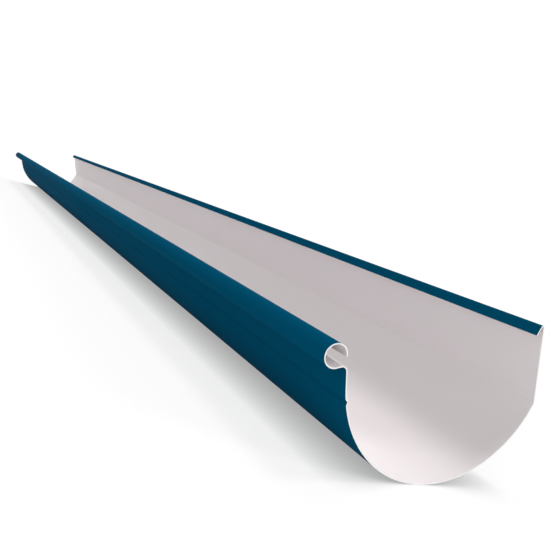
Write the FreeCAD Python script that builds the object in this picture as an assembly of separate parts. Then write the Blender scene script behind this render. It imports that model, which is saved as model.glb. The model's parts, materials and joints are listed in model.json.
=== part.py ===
import FreeCAD, Part
import math
import os

# One length of half-round rainwater gutter with a flat back, rolled from a single coated
# steel sheet. Every bend and flat of its section is made once, in the order in which the
# sheet runs from the free end of the bead to the edge of the lip on the back.
#
# Millimetres and degrees. X runs along the gutter, -Y is the bead's side, +Z is up.
# The section is drawn with its back upright, about the centre of its round bottom, then
# rolled to the way in which a loose length settles on a level floor.

# The stock
sheet_thickness = 0.8
gutter_length = 1800.0

# The round bottom and the flat back
gutter_width = 150.0        # over the front wall and the back
back_height = 97.2          # from the underside to the top of the fold
kink_angle = 29.0           # the turn from the round bottom into the back
kink_radius = 1.5           # inside of that bend

# The lip folded in and down from the top of the back
fold_radius = 0.7           # inside of the fold
lip_angle = 32.0            # left open between the lip and the back
lip_flat = 6.4

# The front wall, straight above the round bottom
front_flat = 11.3

# The neck and the bead rolled forward from the front wall
neck_radius = 3.0           # inside of the bend, on the outer face
neck_angle = 94.0
neck_flat = 3.1             # out to the bead
bead_diameter = 15.2
bead_angle = 287.0          # how far round the bead the sheet runs to its free end

# The rib pressed inwards just below the front wall
rib_drop = 8.0              # its middle, below the front wall's foot
rib_depth = 1.0
rib_flank_angle = 30.0
rib_bend_radius = 1.0       # at the middle of the sheet


class BentSheet:
    """A sheet's section, followed along the middle of its thickness, with a face on each side."""

    def __init__(self, heading, thickness):
        self.point = FreeCAD.Vector(0, 0, 0)
        self.heading = heading
        self.half = thickness / 2
        self.left_face = []
        self.right_face = []

    def direction(self, turn):
        angle = math.radians(self.heading + turn)
        return FreeCAD.Vector(0, math.cos(angle), math.sin(angle))

    def flat(self, length):
        across = self.direction(90) * self.half
        end = self.point + self.direction(0) * length
        self.left_face.append(Part.LineSegment(self.point + across, end + across))
        self.right_face.append(Part.LineSegment(self.point - across, end - across))
        self.point = end

    def bend(self, radius, turn):
        """Turns left, or right where turn is negative. The radius is the middle's. Gives the centre."""
        side = math.copysign(1.0, turn)
        centre = self.point + self.direction(90) * (side * radius)
        spokes = [self.direction(share * turn - side * 90) for share in (0, 0.5, 1)]
        left_radius = radius - side * self.half
        right_radius = radius + side * self.half
        self.left_face.append(Part.Arc(*[centre + spoke * left_radius for spoke in spokes]))
        self.right_face.append(Part.Arc(*[centre + spoke * right_radius for spoke in spokes]))
        self.point = centre + spokes[2] * radius
        self.heading += turn
        return centre

    def section(self):
        """The closed face between the two sides and the two cut edges."""
        first_edge = Part.LineSegment(self.left_face[0].StartPoint, self.right_face[0].StartPoint)
        last_edge = Part.LineSegment(self.left_face[-1].EndPoint, self.right_face[-1].EndPoint)
        outline = self.left_face + [last_edge] + self.right_face + [first_edge]
        edges = Part.sortEdges([curve.toShape() for curve in outline])[0]
        return Part.Face(Part.Wire(edges))


def bottom_outer_radius():
    """The radius that carries the round bottom from the front wall to the bend below the back."""
    kink = kink_radius + sheet_thickness
    reach = math.cos(math.radians(kink_angle))
    return (gutter_width - kink * (1 - reach)) / (1 + reach)


def gutter_profile():
    """The section with its back upright, about the centre of the round bottom."""
    half = sheet_thickness / 2
    bottom_radius = bottom_outer_radius()
    bottom = bottom_radius - half
    kink = kink_radius + half
    fold = fold_radius + half

    # Both ends of the rib lie on the round bottom, which runs in line on either side of it.
    flank = math.radians(rib_flank_angle)
    rib_flat = (rib_depth - 2 * rib_bend_radius * (1 - math.cos(flank))) / math.sin(flank)
    rib_half_length = 2 * rib_bend_radius * math.sin(flank) + rib_flat * math.cos(flank)
    rib_half_turn = math.degrees(math.asin(rib_half_length / (bottom - rib_bend_radius)))
    rib_turn = math.degrees(math.asin(rib_drop / bottom))

    # The flat back runs from the bend at its foot to the fold at its top.
    back_foot_z = -(bottom - kink) * math.sin(math.radians(kink_angle))
    back_top_z = back_height - bottom_radius - fold - half

    sheet = BentSheet(neck_angle - bead_angle - 90, sheet_thickness)
    sheet.bend(bead_diameter / 2 - half, bead_angle)
    sheet.flat(neck_flat)
    sheet.bend(neck_radius + half, -neck_angle)
    sheet.flat(front_flat)
    bottom_centre = sheet.bend(bottom, rib_turn - rib_half_turn)
    sheet.bend(rib_bend_radius, rib_flank_angle + rib_half_turn)
    sheet.flat(rib_flat)
    sheet.bend(rib_bend_radius, -2 * rib_flank_angle)
    sheet.flat(rib_flat)
    sheet.bend(rib_bend_radius, rib_flank_angle + rib_half_turn)
    sheet.bend(bottom, 180 - kink_angle - rib_turn - rib_half_turn)
    sheet.bend(kink, kink_angle)
    sheet.flat(back_top_z - back_foot_z)
    sheet.bend(fold, 180 - lip_angle)
    sheet.flat(lip_flat)
    return sheet.section().translated(-bottom_centre)


def settled(profile):
    """The section rolled on its round bottom until its weight hangs below the bottom's centre."""
    weight = profile.CenterOfMass
    roll = -90 - math.degrees(math.atan2(weight.z, weight.y))
    return profile.rotated(FreeCAD.Vector(0, 0, 0), FreeCAD.Vector(1, 0, 0), roll)


def gutter_section():
    """The whole length, with the origin at the bottom, under the middle of its box."""
    gutter = settled(gutter_profile()).extrude(FreeCAD.Vector(gutter_length, 0, 0))
    box = gutter.optimalBoundingBox(False, False)
    return gutter.translated(FreeCAD.Vector(-box.Center.x, -box.Center.y, -box.ZMin))


os.makedirs("parts", exist_ok=True)
gutter_section().exportStep("parts/gutter_section.step")
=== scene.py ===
import bmesh
import bpy
import json
from math import asin, atan2, cos, degrees, pi, radians, sin
from mathutils import Matrix, Vector


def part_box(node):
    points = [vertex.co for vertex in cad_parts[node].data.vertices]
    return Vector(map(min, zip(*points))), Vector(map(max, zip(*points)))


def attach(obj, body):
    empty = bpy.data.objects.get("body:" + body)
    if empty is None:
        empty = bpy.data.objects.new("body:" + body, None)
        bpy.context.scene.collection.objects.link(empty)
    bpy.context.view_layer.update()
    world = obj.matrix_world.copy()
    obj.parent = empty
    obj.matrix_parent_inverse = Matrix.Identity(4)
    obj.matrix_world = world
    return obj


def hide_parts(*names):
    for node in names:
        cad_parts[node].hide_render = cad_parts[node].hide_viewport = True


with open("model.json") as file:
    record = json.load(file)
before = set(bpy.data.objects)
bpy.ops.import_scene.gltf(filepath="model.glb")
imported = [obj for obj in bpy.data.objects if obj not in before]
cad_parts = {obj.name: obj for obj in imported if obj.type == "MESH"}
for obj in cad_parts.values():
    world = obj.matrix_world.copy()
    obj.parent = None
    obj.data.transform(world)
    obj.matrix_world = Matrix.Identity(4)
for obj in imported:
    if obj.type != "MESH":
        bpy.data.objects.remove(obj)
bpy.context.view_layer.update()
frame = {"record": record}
print("frame loaded")

# The gutter is rolled as it hangs, back upright, about the middle of its round bottom.
# toRest turns it to the way it lies on the floor. The camera turns with it.
mounts = {mount["name"]: mount for mount in frame["record"]["mounts"]}
backAxis = mounts["back"]["axis"]
restRoll = atan2(backAxis[2], backAxis[1])
toRest = Matrix.Translation(mounts["cradle"]["pos_m"]) @ Matrix.Rotation(restRoll, 4, "X")


class Wire:
    # one output of a node, so that shader maths reads as plain sums
    def __init__(self, bench, socket):
        self.bench = bench
        self.socket = socket

    def maths(self, operation, other):
        return self.bench.node("ShaderNodeMath", {0: self, 1: other}, {"operation": operation})

    def __add__(self, other):
        return self.maths("ADD", other)

    def __mul__(self, other):
        return self.maths("MULTIPLY", other)

    __radd__ = __add__
    __rmul__ = __mul__


class Bench:
    # the node tree of a material or of the world, emptied and ready for its nodes
    def __init__(self, owner):
        owner.use_nodes = True
        self.tree = owner.node_tree
        self.tree.nodes.clear()

    def node(self, kind, sockets={}, settings={}, output=0):
        made = self.tree.nodes.new(kind)
        for name, value in settings.items():
            setattr(made, name, value)
        for name, value in sockets.items():
            if isinstance(value, Wire):
                self.tree.links.new(value.socket, made.inputs[name])
            else:
                made.inputs[name].default_value = value
        if made.outputs:
            return Wire(self, made.outputs[output])

    def noise(self, size, stretch=1, detail=2):
        # between 0 and 1, in blotches of about size metres, drawn out along the gutter
        point = self.node("ShaderNodeTexCoord", output="Object")
        drawn = self.node("ShaderNodeMapping", {"Vector": point, "Scale": (1 / stretch, 1, 1)})
        return self.node("ShaderNodeTexNoise", {"Vector": drawn, "Scale": 1 / size, "Detail": detail})

    def blend(self, share, first, second):
        sockets = {0: share, 6: first, 7: second}        # 6 and 7 are the node's two colours
        return self.node("ShaderNodeMix", sockets, {"data_type": "RGBA"}, "Result")


def surface(name, build):
    material = bpy.data.materials.new(name)
    build(Bench(material))
    return material


# A bend is made of as many flats as the strictest of these asks for.
facets = {
    "fewest": 3,
    "degreesEach": 5,
    "metresEach": 0.002,
}


class SheetEdge:
    # the edge that the sheet is rolled on from, seen along the gutter
    def __init__(self, y, z, heading):
        self.place = Vector((0, y, z))
        self.heading = heading

    def ahead(self, turn=0):
        angle = radians(self.heading + turn)
        return Vector((0, cos(angle), sin(angle)))

    def flat(self, length):
        step = self.ahead() * length
        bpy.ops.mesh.extrude_region_move(TRANSFORM_OT_translate={"value": step})
        self.place += step

    def bend(self, radius, turn):
        side = 90 if turn > 0 else -90        # to the left where the turn is above zero
        centre = self.place + self.ahead(side) * radius
        length = radius * abs(radians(turn))
        byTurn = round(abs(turn) / facets["degreesEach"])
        byLength = round(length / facets["metresEach"])
        steps = max(facets["fewest"], byTurn, byLength)
        bpy.ops.mesh.spin(steps=steps, angle=-radians(turn), center=centre, axis=(1, 0, 0))
        self.heading += turn
        self.place = centre - self.ahead(side) * radius


# Metres and degrees, and every radius is at the middle of the sheet.
gutter = {
    "thickness": 0.0008,
    "bottomRadius": 0.0794624,
    "frontWall": 0.0113,
    "neckRadius": 0.0034,
    "neckTurn": 94,
    "neckFlat": 0.0031,
    "beadRadius": 0.0072,
    "beadTurn": 287,
    "ribDrop": 0.008,        # the rib's middle, below the front wall
    "ribDepth": 0.001,
    "ribRadius": 0.001,
    "ribFlank": 30,
    "kinkRadius": 0.0019,
    "kinkTurn": 29,
    "backTop": 0.0158376,        # where the fold starts
    "foldRadius": 0.0011,
    "foldTurn": 148,
    "lip": 0.0064,
    "samePoint": 0.000001,        # points closer than this are one
    "sharpFrom": 30,        # what turns more at once stays a sharp edge
}


def wallStrip():
    # the front wall, as long as the solid
    low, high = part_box("gutter_section")
    wall = gutter["frontWall"]
    bpy.ops.object.select_all(action="DESELECT")
    bpy.ops.mesh.primitive_plane_add(size=1, rotation=(radians(90), 0, 0))
    strip = bpy.context.object
    strip.name = strip.data.name = "rolledSheet"
    strip.location = ((low.x + high.x) / 2, -gutter["bottomRadius"], wall / 2)
    strip.scale = (high.x - low.x, wall, 1)
    bpy.ops.object.transform_apply()
    return strip


def startAt(strip, z, heading):
    # the front wall's long edge at the height z, picked to be rolled on from
    bpy.ops.mesh.select_all(action="DESELECT")
    mesh = bmesh.from_edit_mesh(strip.data)
    for edge in mesh.edges:
        edge.select_set(all(abs(vertex.co.z - z) < gutter["samePoint"] for vertex in edge.verts))
    bmesh.update_edit_mesh(strip.data)
    return SheetEdge(-gutter["bottomRadius"], z, heading)


def rollNeckAndBead(strip):
    edge = startAt(strip, gutter["frontWall"], heading=90)
    edge.bend(gutter["neckRadius"], gutter["neckTurn"])
    edge.flat(gutter["neckFlat"])
    edge.bend(gutter["beadRadius"], -gutter["beadTurn"])


def rollBottomAndBack(strip):
    bottom = gutter["bottomRadius"]
    curl = gutter["ribRadius"]
    flankTurn = gutter["ribFlank"]
    flank = radians(flankTurn)
    ribFlat = (gutter["ribDepth"] - 2 * curl * (1 - cos(flank))) / sin(flank)
    ribReach = 2 * curl * sin(flank) + ribFlat * cos(flank)
    ribHalfTurn = degrees(asin(ribReach / (bottom - curl)))
    ribTurn = degrees(asin(gutter["ribDrop"] / bottom))

    edge = startAt(strip, 0, heading=-90)
    edge.bend(bottom, ribTurn - ribHalfTurn)
    edge.bend(curl, flankTurn + ribHalfTurn)
    edge.flat(ribFlat)
    edge.bend(curl, -2 * flankTurn)
    edge.flat(ribFlat)
    edge.bend(curl, flankTurn + ribHalfTurn)
    edge.bend(bottom, 180 - gutter["kinkTurn"] - ribTurn - ribHalfTurn)
    edge.bend(gutter["kinkRadius"], gutter["kinkTurn"])
    edge.flat(gutter["backTop"] - edge.place.z)
    edge.bend(gutter["foldRadius"], gutter["foldTurn"])
    edge.flat(gutter["lip"])


def faceOutwards(strip):
    # one skin whose front is the gutter's outside
    bpy.ops.mesh.select_all(action="SELECT")
    bpy.ops.mesh.remove_doubles(threshold=gutter["samePoint"])
    bpy.ops.mesh.normals_make_consistent(inside=False)
    wallMiddle = Vector((0, -gutter["bottomRadius"], gutter["frontWall"] / 2))
    faces = bmesh.from_edit_mesh(strip.data).faces
    wall = min(faces, key=lambda face: (face.calc_center_median() - wallMiddle).length)
    if wall.normal.y > 0:
        bpy.ops.mesh.flip_normals()


def thicken(strip, coats):
    # the skin becomes the sheet, with its coats in the order outside, inside, cut edges
    for coat in coats:
        strip.data.materials.append(coat)
    solid = strip.modifiers.new("sheet", "SOLIDIFY")
    solid.thickness = gutter["thickness"]
    solid.offset = 0
    solid.use_even_offset = True
    solid.material_offset = 1
    solid.material_offset_rim = 2
    bpy.ops.object.modifier_apply(modifier=solid.name)
    bpy.ops.object.shade_smooth_by_angle(angle=radians(gutter["sharpFrom"]))
    even = strip.modifiers.new("evenShade", "WEIGHTED_NORMAL")
    even.keep_sharp = True
    bpy.ops.object.modifier_apply(modifier=even.name)


def rollGutter(coats):
    strip = wallStrip()
    bpy.ops.object.mode_set(mode="EDIT")
    bpy.ops.mesh.select_mode(type="EDGE")
    rollNeckAndBead(strip)
    rollBottomAndBack(strip)
    faceOutwards(strip)
    bpy.ops.object.mode_set(mode="OBJECT")
    thicken(strip, coats)
    strip.matrix_world = toRest
    bpy.ops.object.transform_apply()
    return strip


def coatWith(bench, look, share, relief, unevenness):
    # share blends the two colours, relief raises the face and unevenness varies its roughness
    raised = bench.node("ShaderNodeBump", {
        "Height": relief,
        "Distance": look["reliefHeight"],
        "Strength": look["reliefStrength"],
    })
    spread = look["roughnessSpread"]
    shader = bench.node("ShaderNodeBsdfPrincipled", {
        "Base Color": bench.blend(share, look["color"], look["secondColor"]),
        "Roughness": look["roughness"] - spread / 2 + spread * unevenness,
        "Specular IOR Level": look["gloss"],
        "Normal": raised,
    })
    bench.node("ShaderNodeOutputMaterial", {"Surface": shader})


# petrol blue paint on the outside, matt, with the fine skin of a coat cured in an oven
outerPaint = {
    "color": (0, 0.074, 0.146, 1),
    "secondColor": (0, 0.065, 0.128, 1),
    "gloss": 0.001,
    "roughness": 0.6,
    "roughnessSpread": 0.16,
    "bandWidth": 0.006,        # faint bands left by the rollers
    "bandStretch": 90,
    "bandShare": 0.5,        # the rest of the blend is clouds
    "bandRelief": 0.6,        # against 1 for the peel
    "cloud": 0.11,
    "cloudStretch": 2,
    "peel": 0.0011,
    "reliefHeight": 0.00002,
    "reliefStrength": 0.5,
}


def outerCoat(bench):
    bands = bench.noise(outerPaint["bandWidth"], outerPaint["bandStretch"], detail=3)
    clouds = bench.noise(outerPaint["cloud"], outerPaint["cloudStretch"])
    peel = bench.noise(outerPaint["peel"])
    share = outerPaint["bandShare"] * bands + (1 - outerPaint["bandShare"]) * clouds
    relief = peel + outerPaint["bandRelief"] * bands
    coatWith(bench, outerPaint, share, relief, peel)


# the thin off-white backing coat on the inside, a little uneven, with faint streaks along the sheet
innerPaint = {
    "color": (0.78, 0.745, 0.752, 1),
    "secondColor": (0.74, 0.71, 0.719, 1),        # where the steel under it greys it
    "gloss": 0.12,
    "roughness": 0.55,
    "roughnessSpread": 0.2,
    "streakWidth": 0.004,
    "streakStretch": 120,
    "streakShare": 0.4,
    "streakRelief": 0.5,        # against 1 for the specks
    "cloud": 0.05,
    "cloudStretch": 3,
    "cloudShare": 0.4,
    "speck": 0.0007,
    "speckShare": 0.2,
    "reliefHeight": 0.00002,
    "reliefStrength": 0.5,
}


def innerCoat(bench):
    streaks = bench.noise(innerPaint["streakWidth"], innerPaint["streakStretch"], detail=4)
    clouds = bench.noise(innerPaint["cloud"], innerPaint["cloudStretch"], detail=3)
    specks = bench.noise(innerPaint["speck"])
    share = innerPaint["streakShare"] * streaks + innerPaint["cloudShare"] * clouds
    share = share + innerPaint["speckShare"] * specks
    relief = specks + innerPaint["streakRelief"] * streaks
    coatWith(bench, innerPaint, share, relief, clouds)


# the sheet's cut edges, bright zinc, with the fine grain that the shears leave
cutMetal = {
    "color": (0.8, 0.8, 0.795, 1),
    "secondColor": (0.72, 0.72, 0.725, 1),
    "gloss": 0.25,
    "roughness": 0.45,
    "roughnessSpread": 0.2,
    "grain": 0.00025,
    "reliefHeight": 0.00003,
    "reliefStrength": 0.4,
}


def cutEdge(bench):
    grain = bench.noise(cutMetal["grain"], detail=3)
    coatWith(bench, cutMetal, grain, grain, grain)


sheet = rollGutter([
    surface("outerCoat", outerCoat),
    surface("innerCoat", innerCoat),
    surface("cutEdge", cutEdge),
])
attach(sheet, "root")
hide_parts("gutter_section")
print("sheet rolled:", len(sheet.data.polygons), "faces")

# the camera, in the frame in which the gutter's back is upright
view = {
    "place": (1.19385, -0.26379, 0.15172),
    "tilt": 71.524,
    "heading": 64.580,
    "lens": 43.317,
    "shift": 0.0975,
    "clipStart": 0.01,
}
lens = bpy.data.cameras.new("camera")
lens.lens = view["lens"]
lens.shift_y = view["shift"]
lens.clip_start = view["clipStart"]
camera = bpy.data.objects.new("camera", lens)
bpy.context.scene.collection.objects.link(camera)
aimed = Matrix.Rotation(radians(view["heading"]), 4, "Z") @ Matrix.Rotation(radians(view["tilt"]), 4, "X")
camera.matrix_world = toRest @ Matrix.Translation(view["place"]) @ aimed
bpy.context.scene.camera = camera
bpy.context.scene.view_settings.view_transform = "Standard"
print("camera placed")

# Soft lamps all round. turn is from the back towards the near end, height is over the floor,
# and a level of 1 would light a white face turned to the lamp fully by itself.
lamps = {
    "overhead": {"turn": 0, "height": 83, "softness": 14, "level": 0.335, "color": (1, 0.95, 0.945)},
    "side": {"turn": 47, "height": 29, "softness": 20, "level": 0.35, "color": (1, 0.98, 0.975)},
    "farEnd": {"turn": 280, "height": 54, "softness": 40, "level": 0.19, "color": (1, 1, 1)},
    "nearEnd": {"turn": 136, "height": 52, "softness": 30, "level": 0.15, "color": (1, 0.96, 0.955)},
    "alongTheTrough": {"turn": 88, "height": 12, "softness": 20, "level": 0.26, "color": (1, 1, 1)},
    "front": {"turn": 232, "height": 6, "softness": 40, "level": 0.27, "color": (1, 1, 1)},
}
for name, lamp in lamps.items():
    sun = bpy.data.lights.new(name, "SUN")
    sun.energy = lamp["level"] * pi
    sun.color = lamp["color"]
    sun.angle = radians(lamp["softness"])
    holder = bpy.data.objects.new(name, sun)
    turned = Matrix.Rotation(-radians(lamp["turn"]), 4, "Z")
    holder.matrix_world = turned @ Matrix.Rotation(-radians(90 - lamp["height"]), 4, "X")
    bpy.context.scene.collection.objects.link(holder)
print("lamps hung:", len(lamps))

# The floor gives light back to the gutter as plain paper. To the eye it is partly lit and
# partly a white glow, which ambient occlusion dims close under the gutter as a painted contact shadow, so
# that the shadow stays pale and soft.
studio = {
    "floorSize": 60,
    "paper": 0.8,
    "skyLight": 0.3,
    "litShare": 0.2,
    "glow": 0.79,
    # painted contact shadow: the glow's level right under the gutter, and how far the darkening reaches
    "paintedShadowGlow": 0.46,
    "paintedShadowReach": 0.03,
}


def seen(bench):
    # 1 where the camera or a reflection looks at it, so that it shows white there
    kinds = ("Is Camera Ray", "Is Glossy Ray", "Is Transmission Ray")
    straight, glossy, through = [bench.node("ShaderNodeLightPath", output=kind) for kind in kinds]
    return straight + glossy + through


def grey(level):
    return (level, level, level, 1)


def floorPaper(bench):
    paper = bench.node("ShaderNodeBsdfDiffuse", {"Color": grey(studio["paper"])})
    lit = bench.node("ShaderNodeBsdfDiffuse", {"Color": grey(studio["litShare"])})
    # painted contact shadow: ambient occlusion dims the floor's white glow where the gutter is near
    clear = bench.node("ShaderNodeAmbientOcclusion", {"Distance": studio["paintedShadowReach"]}, output="AO")
    glow = bench.node("ShaderNodeEmission", {
        "Color": bench.blend(clear, grey(studio["paintedShadowGlow"]), grey(1)),
        "Strength": studio["glow"],
    })
    shown = bench.node("ShaderNodeAddShader", {0: lit, 1: glow})
    mixed = bench.node("ShaderNodeMixShader", {0: seen(bench), 1: paper, 2: shown})
    bench.node("ShaderNodeOutputMaterial", {"Surface": mixed})


def whiteRoom(bench):
    light = bench.node("ShaderNodeBackground", {"Color": grey(1), "Strength": studio["skyLight"]})
    white = bench.node("ShaderNodeBackground", {"Color": grey(1), "Strength": 1})
    mixed = bench.node("ShaderNodeMixShader", {0: seen(bench), 1: light, 2: white})
    bench.node("ShaderNodeOutputWorld", {"Surface": mixed})


bpy.ops.mesh.primitive_plane_add(size=studio["floorSize"])
floor = bpy.context.object
floor.name = "floor"
floor.data.materials.append(surface("floorPaper", floorPaper))

world = bpy.data.worlds.new("studio")
bpy.context.scene.world = world
whiteRoom(Bench(world))
print("floor and world ready")
